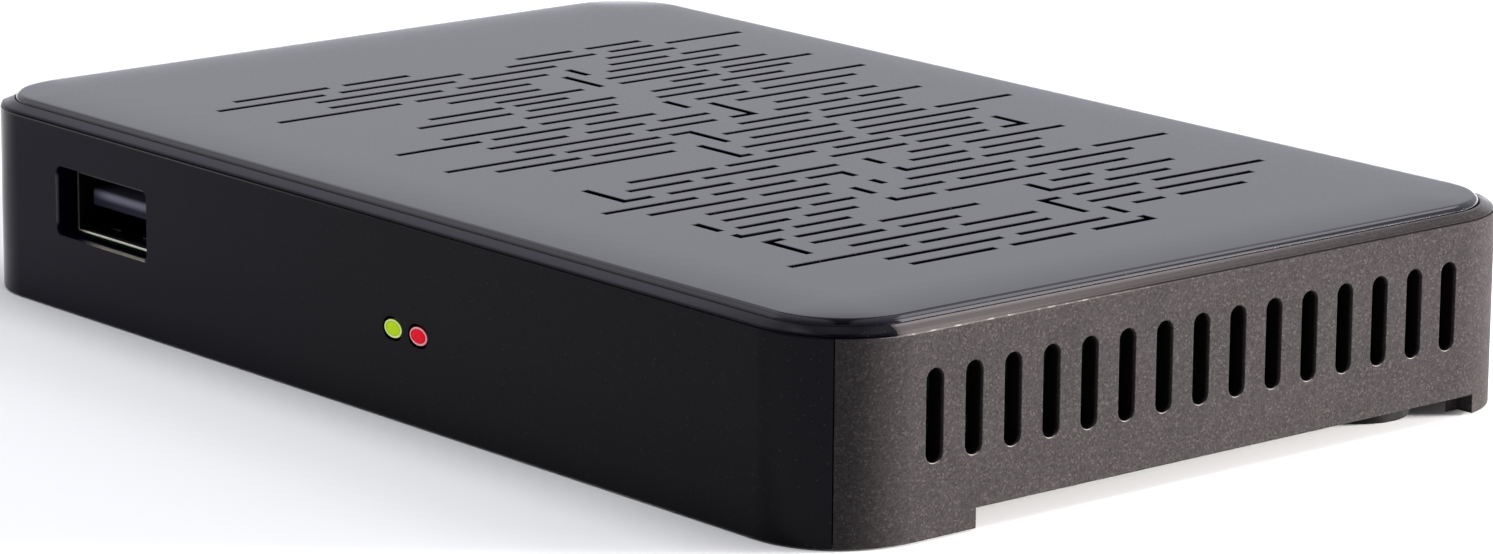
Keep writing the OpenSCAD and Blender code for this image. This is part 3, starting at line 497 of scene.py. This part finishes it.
def sleeve_finish(can_top):
    """A dark plastic sleeve shrunk on an aluminium can, whose bare top shows inside the sleeve's edge."""
    finish = Finish("can_sleeve", {"Specular IOR Level": 0.4})
    bare = finish.place.axis("Z").step(can_top - 0.12 * MM, can_top - 0.06 * MM)
    grain = finish.place.noise(0.3 * MM)
    finish.paint("Base Color", bare.blend((0.008, 0.01, 0.02, 1), (0.6, 0.6, 0.61, 1)))
    finish.paint("Metallic", bare)
    finish.paint("Roughness", 0.3 + 0.12 * grain)
    finish.paint("Normal", grain.bump(0.005 * MM))
    return finish.material


cans = bmesh.new()
for low, high in islands("electrolytic_capacitors"):
    middle = Vector(((low.x + high.x) / 2, (low.y + high.y) / 2, low.z))
    r, top = (high.x - low.x) / 2, high.z - low.z
    spun(cans, [
        (0, 0), (r - 0.2 * MM, 0), (r, 0.2 * MM), (r, 0.9 * MM), (r - 0.28 * MM, 1.15 * MM),
        (r - 0.28 * MM, 1.4 * MM), (r, 1.65 * MM), (r, top - 0.5 * MM), (r - 0.12 * MM, top - 0.15 * MM),
        (r - 0.45 * MM, top - 0.05 * MM), (r - 0.8 * MM, top - 0.05 * MM), (r - 0.9 * MM, top), (0, top),
    ], middle, (0, 0, 1), 32)
can_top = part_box("electrolytic_capacitors")[1].z
settle(cans, "smoothing_capacitors", sleeve_finish(can_top), "capacitor_can", "electrolytic_capacitors")


def ceramic_finish(caps):
    """Tan ceramic whose two ends, along X, are dipped in tin."""
    first_low, first_high = caps[0]
    half = (first_high.x - first_low.x) / 2
    columns = sorted({round(low.x, 6) for low, high in caps})
    pitch = columns[1] - columns[0]
    finish = Finish("chip_ceramic", {"Specular IOR Level": 0.4})
    cell = (finish.place.axis("X") - (first_low.x + half - pitch / 2)) * (1 / pitch)
    off = finish.place.sum("ABSOLUTE", finish.place.sum("FRACT", cell) - 0.5) * (pitch / half)
    tin = off.step(0.55, 0.62)
    grain = finish.place.noise(0.1 * MM)
    finish.paint("Base Color", tin.blend((0.3, 0.2, 0.11, 1), (0.55, 0.55, 0.54, 1)))
    finish.paint("Metallic", tin)
    finish.paint("Roughness", 0.35 + 0.2 * grain)
    finish.paint("Normal", grain.bump(0.006 * MM))
    return finish.material


ceramic = ceramic_finish(islands("chip_capacitors"))
rounded_piece("chip_capacitors", "ceramic_capacitors", 0.08 * MM, ceramic, "chip_ceramic")

# Indicator lamps
# One green and one red lamp with an oval face, cast in tinted resin with a pale rim, each on two tinned
# legs that are bent down to the board. Their faces stand in the front panel's holes.

lens_half_w, lens_half_h, lens_rim = 1.375 * MM, 0.9 * MM, 0.2 * MM
flange_share, flange_front, flange_back = 1.29, 2.02 * MM, 2.98 * MM


def lens_finish(name, middle, colour, rim_colour):
    """Tinted resin that glows faintly on its face, with a pale rim round the face and painted shade on its
    sides.
    """
    finish = Finish(name, {"Specular IOR Level": 0.06, "Emission Strength": 0.45, "Roughness": 0.4})
    aside = (finish.place.axis("X") - middle.x) * (1 / (lens_half_w - lens_rim))
    rise = (finish.place.axis("Z") - middle.z) * (1 / (lens_half_h - lens_rim))
    rim = finish.place.sum("SQRT", aside * aside + rise * rise).step(0.94, 1.08)
    haze = finish.place.noise(0.4 * MM)
    lit = rim.blend(haze.blend(shade(colour, 0.85), colour), rim_colour)
    # Painted shade darkens the lens's sides behind its face.
    behind = (finish.place.axis("Y") - middle.y).step(0.03 * MM, 0.08 * MM)
    lit = behind.blend(lit, shade(colour, 0.1))
    finish.paint("Base Color", lit)
    finish.paint("Emission Color", lit)
    finish.paint("Normal", haze.bump(0.01 * MM))
    return finish.material


def lamp(node, name, slot, colour, rim_colour):
    """A lamp turned as a round one and drawn out sideways to its oval face."""
    low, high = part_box(node)
    middle = Vector(((low.x + high.x) / 2, low.y, (low.z + high.z) / 2))
    r, back = lens_half_h, high.y - low.y
    lens = bmesh.new()
    spun(lens, [
        (0, 0), (0.45 * r, 0.01 * MM), (0.68 * r, 0.03 * MM), (0.74 * r, 0.06 * MM), (0.8 * r, 0.02 * MM),
        (0.96 * r, 0.02 * MM), (r, 0.06 * MM), (r, flange_front), (flange_share * r, flange_front),
        (flange_share * r, flange_back), (r, flange_back), (r, back - 0.1 * MM), (0.9 * r, back), (0, back),
    ], middle, (0, 1, 0))
    bmesh.ops.scale(
        lens, vec=(lens_half_w / lens_half_h, 1, 1), space=Matrix.Translation(-middle), verts=lens.verts)
    settle(lens, name, lens_finish(slot, middle, colour, rim_colour), slot, node)


lamp("led_green", "lamp_green", "lens_green", (0.38, 0.56, 0.008, 1), (0.5, 0.58, 0.24, 1))
lamp("led_red", "lamp_red", "lens_red", (0.62, 0.003, 0.016, 1), (0.58, 0.26, 0.29, 1))
rounded_piece("led_leads", "lamp_legs", 0.06 * MM, tinned_steel, "tinned_steel")

# Infrared receiver
# A small block of dark resin with a domed lens, cast round its detector and soldered to the board. It
# stands behind the front panel, which lets infrared light through.

rounded_piece("ir_receiver", "infrared_eye", 0.06 * MM, chip_resin, "chip_resin")

# USB socket
# A shell folded from tinned steel sheet, a tongue of blue-grey plastic in its upper half, four gilt
# contacts under the tongue, and two springs in the shell's floor that grip the plug.

usb_low, usb_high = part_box("usb_shell")
usb_mid = (usb_low.x + usb_high.x) / 2
sheet = 0.3 * MM
tongue_top = usb_high.z - sheet - 1.55 * MM
spring_aside, spring_half, spring_rise = 2.9 * MM, 1 * MM, 0.25 * MM
spring_front, spring_back = usb_low.y + 2.2 * MM, usb_low.y + 7.2 * MM
# Painted shade for the shell's front edges, and a painted highlight for the lower lip, which plugs also rub.
steel_shaded, steel_rubbed_and_lit = (0.035, 0.034, 0.033, 1), (0.66, 0.64, 0.56, 1)
# Painted shade for the inside of the shell.
steel_inner_shade = (0.03, 0.028, 0.028, 1)
# Painted shade and painted light for the tongue.
tongue_shaded, tongue_lit = (0.016, 0.015, 0.032, 1), (0.2, 0.2, 0.26, 1)


def shell_finish():
    """Steel darkened by painted shade at its mouth and inside, with a painted highlight along the lower lip
    of the mouth, where plugs also rub it.
    """
    finish = Finish("usb_tinned_steel", {"Metallic": 1.0})
    # Painted shade darkens the shell inwards from its mouth.
    inside = (finish.place.axis("Y") - usb_low.y).step(0.05 * MM, 0.9 * MM)
    # A painted highlight along the lower lip, which plugs also rub, fading towards the lip's left end.
    rubbed = (finish.place.axis("Z") - usb_low.z).step(0.5 * MM, 0.3 * MM)
    rubbed = rubbed * (finish.place.axis("X") - usb_low.x).step(0.2 * MM, 2.4 * MM, 0.1, 1.0)
    marks = finish.place.noise(0.25 * MM, 3)
    # The rest of the shell's front carries painted shade.
    edge = rubbed.blend(steel_shaded, steel_rubbed_and_lit)
    finish.paint("Base Color", inside.blend(edge, steel_inner_shade))
    finish.paint("Roughness", 0.3 + 0.12 * marks)
    finish.paint("Normal", marks.bump(0.003 * MM))
    return finish.material


shell = merged_copy("usb_shell")
round_edges(shell, 0.08 * MM)
for side in (-1, 1):
    spring = Vector((usb_mid + side * spring_aside, 0, usb_low.z + sheet))
    block(shell, spring + Vector((-spring_half, spring_front, -0.02 * MM)),
          spring + Vector((spring_half, spring_back, spring_rise)), 0.1 * MM)
settle(shell, "usb_steel_shell", shell_finish(), "tinned_steel", "usb_shell")


def tongue_finish():
    """Blue-grey plastic with painted shade towards its left end and on its lower half."""
    finish = Finish("socket_blue_grey", {"Specular IOR Level": 0.06})
    grain = finish.place.noise(0.2 * MM, 3)
    # Painted light: lighter towards the right end and on the upper half, with painted shade elsewhere.
    lit_share = (finish.place.axis("X") - usb_mid).step(-6.2 * MM, -2 * MM)
    lit_share = lit_share * finish.place.axis("Z").step(tongue_top - 1.15 * MM, tongue_top - 0.5 * MM)
    finish.paint("Base Color", lit_share.blend(tongue_shaded, tongue_lit))
    finish.paint("Roughness", 0.4 + 0.14 * grain)
    finish.paint("Normal", grain.bump(0.01 * MM))
    return finish.material


tongue = merged_copy("usb_tongue")
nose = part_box("usb_tongue")[0].y
round_edges(tongue, 0.3 * MM, segments=4, chosen=lambda at: at.y - nose < flush)
round_edges(tongue, 0.08 * MM, hard=50)
settle(tongue, "usb_plastic_tongue", tongue_finish(), "socket_blue_grey", "usb_tongue")
contact_gold = metal_finish("contact_gold", (0.8, 0.56, 0.2, 1), (0.62, 0.42, 0.15, 1), 0.22)
rounded_piece("usb_contacts", "usb_gilt_contacts", 0.06 * MM, contact_gold, "contact_gold")

# Tuner
# A frame folded from tinned steel sheet, soldered to the board round the tuner chip, with a lid of the
# same sheet pressed on.

rounded_piece("tuner_can", "tuner_frame", 0.08 * MM, tinned_steel, "tinned_steel")
rounded_piece("tuner_lid", "tuner_cap", 0.12 * MM, tinned_steel, "tinned_steel")
package = piled("tuner_chip", [((0, 0), 0, 0.3), ((0.15 * MM, 0.15 * MM), 0.2, 1)], 0.05 * MM)
settle(package, "tuner_circuit", chip_resin, "chip_resin", "tuner_chip")

# Antenna socket
# A turned brass barrel, nickel-plated, with a grip groove near its rim, a washer of ivory plastic inside
# and a gilt centre contact. It is pressed into the tuner's frame and passes through the rear wall.

barrel_nickel = metal_finish(
    "barrel_nickel", (0.66, 0.64, 0.6, 1), (0.5, 0.48, 0.45, 1), 0.18, 0.15 * MM, 0.002 * MM)
low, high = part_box("antenna_barrel")
washer_low, washer_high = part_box("antenna_insulator")
middle = Vector(((low.x + high.x) / 2, low.y, (low.z + high.z) / 2))
r, length = (high.x - low.x) / 2, high.y - low.y
bore, base = r - 0.5 * MM, washer_low.y - low.y
barrel = bmesh.new()
spun(barrel, [
    (0, 0), (r - 0.2 * MM, 0), (r, 0.2 * MM), (r, length - 2.6 * MM), (r - 0.25 * MM, length - 2.45 * MM),
    (r - 0.25 * MM, length - 1.9 * MM), (r, length - 1.75 * MM), (r, length - 0.25 * MM),
    (r - 0.06 * MM, length - 0.08 * MM), (r - 0.2 * MM, length), (bore + 0.12 * MM, length),
    (bore + 0.02 * MM, length - 0.08 * MM), (bore, length - 0.25 * MM), (bore, base), (0, base),
], middle, (0, 1, 0), 64)
settle(barrel, "antenna_sleeve", barrel_nickel, "barrel_nickel", "antenna_barrel", smooth=30)
washer = bmesh.new()
r, length = (washer_high.x - washer_low.x) / 2, washer_high.y - washer_low.y
spun(washer, [
    (0, 0), (r - 0.1 * MM, 0), (r, 0.1 * MM), (r, length - 0.15 * MM), (r - 0.15 * MM, length),
    (0.75 * r, length), (0.7 * r, length - 0.3 * MM), (0.5 * r, length - 0.3 * MM), (0.45 * r, length),
    (0, length),
], Vector((middle.x, washer_low.y, middle.z)), (0, 1, 0), 48)
ivory = moulded_finish("insulator_ivory", (0.6, 0.55, 0.42, 1), (0.68, 0.63, 0.5, 1), 0.4, 0.45)
settle(washer, "antenna_washer", ivory, "insulator_ivory", "antenna_insulator")
rounded_piece("antenna_contact", "antenna_centre", 0.08 * MM, contact_gold, "contact_gold")

# Digital video socket
# A shell folded from tinned steel sheet with chamfered lower corners, a tongue of black plastic and
# nineteen gilt contacts on both faces of the tongue.

socket_black = moulded_finish("socket_black", (0.01, 0.01, 0.0105, 1), (0.018, 0.018, 0.019, 1), 0.38, 0.4)
rounded_piece("hdmi_shell", "hdmi_steel_shell", 0.07 * MM, tinned_steel, "tinned_steel")
rounded_piece("hdmi_tongue", "hdmi_plastic_tongue", 0.1 * MM, socket_black, "socket_black")
rounded_piece("hdmi_contacts", "hdmi_gilt_contacts", 0.03 * MM, contact_gold, "contact_gold")

# Audio and video jack
# A moulded block of black plastic with a round nose in the rear wall, and two gilt tabs that are soldered
# to the board.

rounded_piece("av_jack_body", "jack_block", 0.1 * MM, socket_black, "socket_black")
rounded_piece("av_jack_contacts", "jack_tabs", 0.06 * MM, contact_gold, "contact_gold")

# Power inlet
# A moulded block of black plastic like the jack's, with a turned and nickel-plated centre pin that has a
# rounded tip, and gilt tabs that are soldered to the board.

rounded_piece("power_inlet_body", "inlet_block", 0.1 * MM, socket_black, "socket_black")
low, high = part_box("power_inlet_pin")
r, length = (high.x - low.x) / 2, high.y - low.y
pin = bmesh.new()
spun(pin, [
    (0, 0), (r, 0), (r, length - 0.7 * r), (0.92 * r, length - 0.4 * r), (0.7 * r, length - 0.14 * r),
    (0.4 * r, length - 0.03 * r), (0, length),
], Vector(((low.x + high.x) / 2, low.y, (low.z + high.z) / 2)), (0, 1, 0), 32)
settle(pin, "inlet_pin", barrel_nickel, "barrel_nickel", "power_inlet_pin")
rounded_piece("power_inlet_contacts", "inlet_tabs", 0.06 * MM, contact_gold, "contact_gold")

# Front panel
# A wrap-round panel of polished black plastic that closes the front and turns both front corners, with
# the USB mouth and two lamp holes moulded in. It clips on the case with two tongues at its foot.

panel_black = (0.0011, 0.0009, 0.0022, 1)
# Painted reflection tint, bluer towards the panel's left.
panel_reflection_blue = (0.0012, 0.0008, 0.0065, 1)
# Painted reflection, greyer on the rim's shoulder.
rim_sheen_purple = (0.025, 0.022, 0.0285, 1)
dust_grey = (0.05, 0.05, 0.055, 1)
# Pale grey for a painted highlight along the wall's top edge, and for the mouth's lower edge as painted
# highlight with scuffing.
scuff_and_highlight_grey = (0.3, 0.28, 0.22, 1)
# Painted highlight on the mouth's left edge.
lip_highlight_grey = (0.06, 0.055, 0.052, 1)
panel_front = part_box("front_panel")[0].y
mouth_low, mouth_left, mouth_right = usb_low.z - 0.4 * MM, usb_low.x - 1.4 * MM, usb_high.x + 1.4 * MM


def gloss_finish(name, roughness, specular):
    """Polished black plastic with faint polishing swirls and specks of dust, and its colour to build on."""
    finish = Finish(name, {"Specular IOR Level": specular, "Specular Tint": (0.95, 0.93, 1, 1)})
    swirl = finish.place.noise(9 * MM, 3)
    dust = finish.place.cells(0.09 * MM).step(0.992, 0.998)
    finish.paint("Roughness", roughness + 0.05 * swirl + 0.2 * dust)
    return finish, (0.5 * dust).blend(panel_black, dust_grey)


def panel_finish():
    """The panel's polish with painted reflection, bluer towards its left and greyer on its rim, and painted
    highlights along the wall's top edge and the USB mouth's left edge, and a pale line along the mouth's
    lower edge that is painted highlight and scuffing by plugs.
    """
    finish, plain = gloss_finish("panel_gloss_black", 0.14, 0.074)
    place = finish.place
    level, across, behind = place.axis("Z"), place.axis("X"), place.axis("Y") - panel_front
    # Painted reflection: bluer towards the left.
    plain = across.step(20 * MM, -60 * MM).blend(plain, panel_reflection_blue)
    shoulder = level.step(groove_top + 0.06 * MM, edge_top + 0.1 * MM)
    # Painted reflection: the rim's shoulder is greyer away from the corner.
    plain = (shoulder * across.step(64 * MM, 46 * MM)).blend(plain, rim_sheen_purple)
    # A faint painted highlight along the wall's top edge, stronger towards the left.
    line = level.band((wall_top - 0.1 * MM, wall_top - 0.04 * MM), (wall_top + 0.04 * MM, wall_top))
    plain = (0.2 * line * across.step(5 * MM, -30 * MM)).blend(plain, scuff_and_highlight_grey)

    height = level - mouth_low
    # A painted highlight on the mouth's left edge.
    lip = across.band(
        (mouth_left - 0.28 * MM, mouth_left - 0.2 * MM), (mouth_left + 0.08 * MM, mouth_left + 0.02 * MM))
    lip = lip * height.band((0.8 * MM, 1.5 * MM), (6.6 * MM, 5.9 * MM)) * behind.step(0.3 * MM, 0.2 * MM)
    plain = lip.blend(plain, lip_highlight_grey)
    # A pale line along the mouth's lower edge: painted highlight, with scuffing by plugs.
    scuff = height.band((-0.14 * MM, -0.1 * MM), (0.06 * MM, 0.02 * MM))
    scuff = scuff * across.band(
        (mouth_left + 4.4 * MM, mouth_left + 8.9 * MM), (mouth_right, mouth_right - 0.4 * MM))
    scuff = scuff * (0.5 + 0.5 * place.noise(0.7 * MM, 3)) * behind.step(0.7 * MM, 0.4 * MM)
    finish.paint("Base Color", scuff.blend(plain, scuff_and_highlight_grey))
    finish.paint("Coat Weight", rim_coat(place, shoulder, 0.0))
    finish.paint("Normal", place.noise(1.6 * MM, 1).bump(0.0012 * MM))
    return finish.material


panel = merged_copy("front_panel")
round_edges(panel, 0.16 * MM, segments=3, chosen=lambda at: (
    at.y - panel_front < flush and usb_low.x - 2 * MM < at.x < usb_high.x + 2 * MM
    and usb_low.z - 1 * MM < at.z < usb_high.z + 1 * MM))
round_edges(panel, 0.05 * MM)
settle(panel, "front_bezel", panel_finish(), "gloss_black", "front_panel")

# Top cover
# A flat plate of polished black plastic, let into the rim, with a scatter of narrow vent slits cut right
# through it and edges that sink a little. Four pillars under it take the case screws.

flat_inset, sink_reach, sink_drop = 2.2 * MM, 9 * MM, 0.34 * MM
end_inset, end_reach, end_drop = 1.9 * MM, 0.7 * MM, 0.065 * MM


def cover_finish():
    """The cover's polish, with a little orange peel, a faint sinking to its edges and a turned-down end."""
    finish, plain = gloss_finish("cover_gloss_black", 0.08, 0.5)
    finish.paint("Base Color", plain)
    place = finish.place
    depth = depth_inside(place, flat_inset)
    near = place.sum("MAXIMUM", 1 - depth * (1 / sink_reach))
    end = place.sum("MAXIMUM", 1 - (depth + flat_inset - end_inset) * (1 / end_reach))
    end = place.sum("MINIMUM", end, 1.0)
    peel = place.noise(1.6 * MM, 1)
    relief = 0.0012 * MM * peel - sink_drop * near * near - end_drop * end * end
    finish.paint("Normal", relief.bump(1.0))
    return finish.material


cover = merged_copy("top_cover")
round_edges(cover, 0.06 * MM)
settle(cover, "cover_plate", cover_finish(), "gloss_black", "top_cover")

# Case screws
# Four longer steel screws with a cross recess, driven from below through the tub's bosses into the
# cover's pillars.

long_screws = merged_copy("case_screws")
round_edges(long_screws, 0.1 * MM)
settle(long_screws, "case_fixings", screw_zinc, "screw_steel", "case_screws")

# Stage
# A pale floor, soft light from all round that is brighter behind at the left, a strong low soft box at the
# right rear that lights the side wall, four weaker boxes for the gloss and from overhead, and the camera at
# the photograph's place.

view_azimuth, view_elevation, view_roll = 49.674, 13.318, 0.448
view_distance, view_aside, view_rise = 585.934 * MM, 2.818 * MM, 6.231 * MM
photo_w, focal_px, film_w = 1493, 5784.56, 36
floor_half, floor_grey, floor_pale = 4, (0.86, 0.86, 0.86, 1), (0.9, 0.9, 0.9, 1)
sky_tint, bright_side, flag_bearing = (0.91, 0.922, 1, 1), (-0.56, 0.62, 0.55), math.radians(140)
box_distance = 1.5

turn = Euler((math.radians(90 - view_elevation), 0, math.radians(view_azimuth)))
turn = turn.to_matrix() @ Matrix.Rotation(math.radians(view_roll), 3, "Z")
eye = case_middle + turn @ Vector((view_aside, view_rise, view_distance))
lens = bpy.data.cameras.new("view_lens")
lens.sensor_width = film_w
lens.lens = focal_px * film_w / photo_w
lens.clip_start = 1 * MM
camera = bpy.data.objects.new("view", lens)
camera.matrix_world = Matrix.Translation(eye) @ turn.to_4x4()
bpy.context.scene.collection.objects.link(camera)
bpy.context.scene.camera = camera
bpy.context.scene.view_settings.view_transform = "Standard"

floor_mesh = bpy.data.meshes.new("floor")
bm = bmesh.new()
bmesh.ops.create_grid(bm, x_segments=8, y_segments=8, size=floor_half)
bm.to_mesh(floor_mesh)
bm.free()
floor = bpy.data.objects.new("floor", floor_mesh)
bpy.context.scene.collection.objects.link(floor)
floor_finish = Finish("pale_floor", {"Specular IOR Level": 0.1, "Roughness": 0.9})
cloud = floor_finish.place.noise(300 * MM)
floor_finish.paint("Base Color", cloud.blend(floor_grey, floor_pale))
floor_mesh.materials.append(floor_finish.material)

world = bpy.data.worlds.new("studio")
world.use_nodes = True
bpy.context.scene.world = world
tree = world.node_tree
direction = Wire(tree, tree.nodes.new("ShaderNodeTexCoord").outputs["Generated"])
facing = direction.node("VectorMath", {"operation": "DOT_PRODUCT"}, {0: direction, 1: bright_side}, "Value")
level = direction.axis("Z")
far_side = (math.sin(flag_bearing), -math.cos(flag_bearing), 0)
across = direction.node("VectorMath", {"operation": "DOT_PRODUCT"}, {0: direction, 1: far_side}, "Value")
dark_flag = direction.sum("ABSOLUTE", across).step(0.19, 0.09) * level.step(0.34, 0.43)
backdrop = level.step(0.08, 0.02) * facing.step(0.6, 0.76)
glow = facing.step(-0.5, 0.7, 0.28, 0.85) * level.step(0.11, 0.26, 0.8, 1.06)
glow = glow * (1 - 0.8 * dark_flag) + 1.8 * backdrop
tree.links.new(glow.socket, tree.nodes["Background"].inputs["Strength"])
tree.nodes["Background"].inputs["Color"].default_value = sky_tint


def soft_box(name, width, height, bearing, rise, watts, tint=(1, 1, 1), in_gloss=True):
    """A rectangular light, unseen itself, that faces the case from a bearing to the left of +X."""
    source = bpy.data.lights.new(name, "AREA")
    source.shape = "RECTANGLE"
    source.size, source.size_y, source.energy, source.color = width, height, watts, tint
    light = bpy.data.objects.new(name, source)
    bearing, rise = math.radians(bearing), math.radians(rise)
    way = Vector((math.cos(bearing) * math.cos(rise), math.sin(bearing) * math.cos(rise), math.sin(rise)))
    stand = Matrix.Translation(case_middle + way * box_distance)
    light.matrix_world = stand @ way.to_track_quat("Z", "Y").to_matrix().to_4x4()
    light.visible_camera = False
    light.visible_glossy = in_gloss
    bpy.context.scene.collection.objects.link(light)


soft_box("overhead", 1.2, 1.2, 0, 90, 12, in_gloss=False)
soft_box("right_rear", 0.5, 0.3, 55, 6, 166, (1, 0.97, 0.95), in_gloss=False)
soft_box("right_high", 0.32, 0.9, 39, 16, 4.6, (1, 0.95, 0.93))
soft_box("rear_high", 0.8, 0.34, 71, 46, 2.1)
soft_box("left_high", 1.0, 0.9, 213, 24, 1.2)
